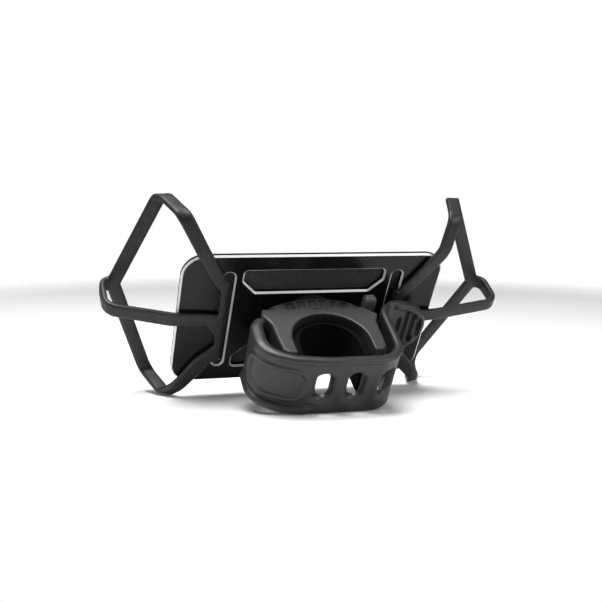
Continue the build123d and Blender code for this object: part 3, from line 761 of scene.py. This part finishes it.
def ribbon(stations, facing):
    """An arm of rounded rectangular section along a rounded path; facing is each run's outward side."""
    corners = [station[:3] for station in stations]
    widths = [station[3] for station in stations]
    points, runs = rounded_path(corners, ARM_RADII, ARM_STEP)
    along = np.gradient(points, axis=0)
    along /= np.linalg.norm(along, axis=1)[:, None]
    travelled = np.concatenate([[0], np.cumsum(np.linalg.norm(np.diff(points, axis=0), axis=1))])
    marks = [travelled[np.argmin(np.linalg.norm(points - np.array(c), axis=1))] for c in corners]
    verts, faces = [], []
    for point, run, tangent, at in zip(points, runs, along, travelled):
        low = int(run)
        outward = np.array(facing[low], float)
        if run > low:
            share = float(smoothstep(run - low))
            outward = outward * (1 - share) + np.array(facing[low + 1], float) * share
        outward -= tangent * float(outward @ tangent)
        outward /= np.linalg.norm(outward)
        across = np.cross(tangent, outward)
        stage = max(0, min(len(marks) - 2, int(np.searchsorted(marks, at)) - 1))
        share = float(smoothstep((at - marks[stage]) / max(marks[stage + 1] - marks[stage], 1e-6)))
        width = widths[stage] * (1 - share) + widths[stage + 1] * share
        for k in range(SECTION_SIDES):
            angle = math.tau * (k + 0.5) / SECTION_SIDES
            c = math.cos(angle)
            s = math.sin(angle)
            ring = (abs(c) ** SECTION_POWER + abs(s) ** SECTION_POWER) ** (-1 / SECTION_POWER)
            corner = point + across * width / 2 * c * ring + outward * BAND_T / 2 * s * ring
            corner[1] = math.copysign(max(abs(corner[1]), ROOT_Y), corner[1])
            verts.append(corner * MM)
    rows = len(points)
    for r in range(rows - 1):
        for k in range(SECTION_SIDES):
            n = (k + 1) % SECTION_SIDES
            a, b = r * SECTION_SIDES, (r + 1) * SECTION_SIDES
            faces.append([a + k, a + n, b + n, b + k])
    faces.append(list(range(SECTION_SIDES))[::-1])
    faces.append([(rows - 1) * SECTION_SIDES + k for k in range(SECTION_SIDES)])
    return verts, faces


def block(xs, ys, zs):
    """A box's corners and faces, in metres from its millimetre sides."""
    verts = [(x * MM, y * MM, z * MM) for x in xs for y in ys for z in zs]
    return verts, [[0, 1, 3, 2], [4, 6, 7, 5], [0, 4, 5, 1], [2, 3, 7, 6], [0, 2, 6, 4], [1, 5, 7, 3]]


def gather(parts):
    """Several pieces' points and faces as one mesh's."""
    verts, faces = [], []
    for part_verts, part_faces in parts:
        base = len(verts)
        verts += part_verts
        faces += [[n + base for n in f] for f in part_faces]
    return verts, faces


def band_piece(name, side, web, arms, node):
    """One silicone band: three arms, their web over the slot, the tongue through it and the bead behind."""

    def ys(near, far):
        return sorted((side * near, side * far))

    parts = []
    for away, stations in arms:
        parts.append(ribbon(stations, [BACKWARD, BACKWARD, BACKWARD, away, FORWARD]))
    tongue = (web[0] + TONGUE_INSET, web[1] - TONGUE_INSET)
    behind = PLATE_TOP + CLEARANCE
    parts.append(block(web, ys(ROOT_Y, ROOT_Y + WEB_W), (PLATE_Z - BAND_T, PLATE_Z - CLEARANCE)))
    parts.append(block(tongue, ys(*TONGUE_Y), (PLATE_Z - 1, PLATE_TOP + 1)))
    parts.append(block((-BEAD_HALF, BEAD_HALF), ys(*BEAD_Y), (behind, behind + BEAD_T)))
    piece = new_object(name, *gather(parts))
    remesh = piece.modifiers.new("skin", "REMESH")
    remesh.mode = "VOXEL"
    remesh.voxel_size = VOXEL * MM
    relax = piece.modifiers.new("relax", "SMOOTH")
    relax.factor = 0.5
    relax.iterations = 8
    apply_modifiers(piece)
    finish_piece(piece, SILICONE)
    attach(piece, "tray")
    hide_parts(node)


band_piece("band_left_skin", -1, LEFT_WEB, LEFT_ARMS, "band_left")
band_piece("band_right_skin", 1, RIGHT_WEB, RIGHT_ARMS, "band_right")

# ---------------------------------------------------------------- floor
UP = Vector((0.845, 0.0, 0.534))     # about the direction away from the surface that the mount lies on
TILT_STEPS = 60
STEPS_A_DEGREE = 15
SINK = 0.0002               # how far the floor lies below the mount's lowest point
FLOOR_REACH = 0.4
FLOOR_FRONT = 0.14          # how far the floor runs in front of the mount
FLOOR_FADE = (0.7, 0.99)    # shares of its reach where it starts to fade and is gone
FLOOR_TONE = (0.8, 0.8, 0.81, 1)
FLOOR_SIDES = 128


def points_of(*names):
    """Every vertex of these pieces, in metres."""
    pieces = [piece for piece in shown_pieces() if piece.name in names]
    return np.array([piece.matrix_world @ vert.co for piece in pieces for vert in piece.data.vertices])


def lowest(points, direction):
    """How far the lowest of the points lies along a direction."""
    return (points @ np.array(direction)).min()


# The mount rests on the strap's lower edge and on the bands' lower wraps, which fixes the floor's tilt.
on_strap = points_of("strap_skin")
on_bands = points_of("band_left_skin", "band_right_skin")
best = 1.0
for step in range(-TILT_STEPS, TILT_STEPS + 1):
    turn = math.atan2(UP.z, UP.x) + math.radians(step / STEPS_A_DEGREE)
    normal = (math.cos(turn), 0.0, math.sin(turn))
    gap = abs(lowest(on_strap, normal) - lowest(on_bands, normal))
    if gap < best:
        best = gap
        floor_up = Vector(normal)
ground = min(lowest(on_strap, floor_up), lowest(on_bands, floor_up)) - SINK

towards_camera = (CAMERA_AT - floor_up * CAMERA_AT.dot(floor_up)).normalized()
sideways = floor_up.cross(towards_camera).normalized()
front_edge = -lowest(on_strap, -towards_camera)
floor_centre = floor_up * ground + towards_camera * (front_edge + FLOOR_FRONT - FLOOR_REACH)
floor_turn = Matrix((towards_camera, sideways, floor_up)).transposed().to_4x4()

floor_mesh = bpy.data.meshes.new("floor")
disc = bmesh.new()
bmesh.ops.create_circle(disc, cap_ends=True, segments=FLOOR_SIDES, radius=FLOOR_REACH)
disc.to_mesh(floor_mesh)
disc.free()
floor = bpy.data.objects.new("floor", floor_mesh)
floor.matrix_world = Matrix.Translation(floor_centre) @ floor_turn
bpy.context.collection.objects.link(floor)
if (floor.matrix_world.to_3x3() @ floor_mesh.polygons[0].normal).dot(floor_up) < 0:
    floor_mesh.flip_normals()

# The floor fades out towards its rim, and has only a top side, so it hides nothing from underneath.
n = Nodes("floor_white")
n.set(Base_Color=FLOOR_TONE, Roughness=0.6)
away = n.add("ShaderNodeVectorMath", operation="LENGTH")
n.link(n.place, away.inputs[0])
share_out = n.math("DIVIDE", away.outputs["Value"], FLOOR_REACH)
spread = n.ramp(share_out, (FLOOR_FADE[0], 1.0), (FLOOR_FADE[1], 0.0))
top_side = n.math("SUBTRACT", 1.0, n.add("ShaderNodeNewGeometry").outputs["Backfacing"])
clear = n.add("ShaderNodeBsdfTransparent")
blend = n.add("ShaderNodeMixShader")
n.link(n.math("MULTIPLY", spread, top_side), blend.inputs[0])
n.link(clear.outputs[0], blend.inputs[1])
n.link(n.shader.outputs[0], blend.inputs[2])
n.link(blend.outputs[0], n.tree.nodes["Material Output"].inputs["Surface"])
floor_mesh.materials.append(n.material)

# ---------------------------------------------------------------- world and lights
ROOM_STRENGTH = 0.26
ROOM_SHADE = {"From Min": -0.6, "From Max": 0.9, "To Min": 0.12, "To Max": 1.3}    # dim below, bright above
AIM = mm(0, 0, 15)
# Each light's place from the aim: up, towards the camera and sideways; then its size and power.
LIGHTS = {
    "key": (0.6, 0.12, -0.1, 0.4, 7.5),
    "left": (0.12, 0.25, -0.5, 0.3, 0.9),
    "right": (0.2, 0.3, 0.5, 0.3, 1.8),
}


def studio_world():
    """A room that is white to the eye, and lights the mount mostly from above."""
    world = bpy.data.worlds.new("studio")
    world.use_nodes = True
    nodes = world.node_tree.nodes
    link = world.node_tree.links.new
    seen = nodes["Background"]
    seen.inputs["Color"].default_value = (1, 1, 1, 1)
    seen.inputs["Strength"].default_value = 1.0
    glow = nodes.new("ShaderNodeBackground")
    glow.inputs["Strength"].default_value = ROOM_STRENGTH
    height = nodes.new("ShaderNodeVectorMath")
    height.operation = "DOT_PRODUCT"
    height.inputs[1].default_value = floor_up
    link(nodes.new("ShaderNodeTexCoord").outputs["Generated"], height.inputs[0])
    shade = nodes.new("ShaderNodeMapRange")
    for key, value in ROOM_SHADE.items():
        shade.inputs[key].default_value = value
    link(height.outputs["Value"], shade.inputs["Value"])
    link(shade.outputs[0], glow.inputs["Color"])
    either = nodes.new("ShaderNodeMixShader")
    link(nodes.new("ShaderNodeLightPath").outputs["Is Camera Ray"], either.inputs[0])
    link(glow.outputs[0], either.inputs[1])
    link(seen.outputs[0], either.inputs[2])
    link(either.outputs[0], nodes["World Output"].inputs["Surface"])
    return world


def area_light(name, up, front, side, size, power):
    """A square soft light that faces the mount."""
    data = bpy.data.lights.new(name, "AREA")
    data.shape = "SQUARE"
    data.size = size
    data.energy = power
    light = bpy.data.objects.new(name, data)
    light.location = AIM + floor_up * up + towards_camera * front + sideways * side
    light.rotation_mode = "QUATERNION"
    light.rotation_quaternion = (AIM - light.location).to_track_quat("-Z", "Y")
    bpy.context.collection.objects.link(light)


bpy.context.scene.world = studio_world()
bpy.context.scene.view_settings.view_transform = "Standard"
for name, values in LIGHTS.items():
    area_light(name, *values)
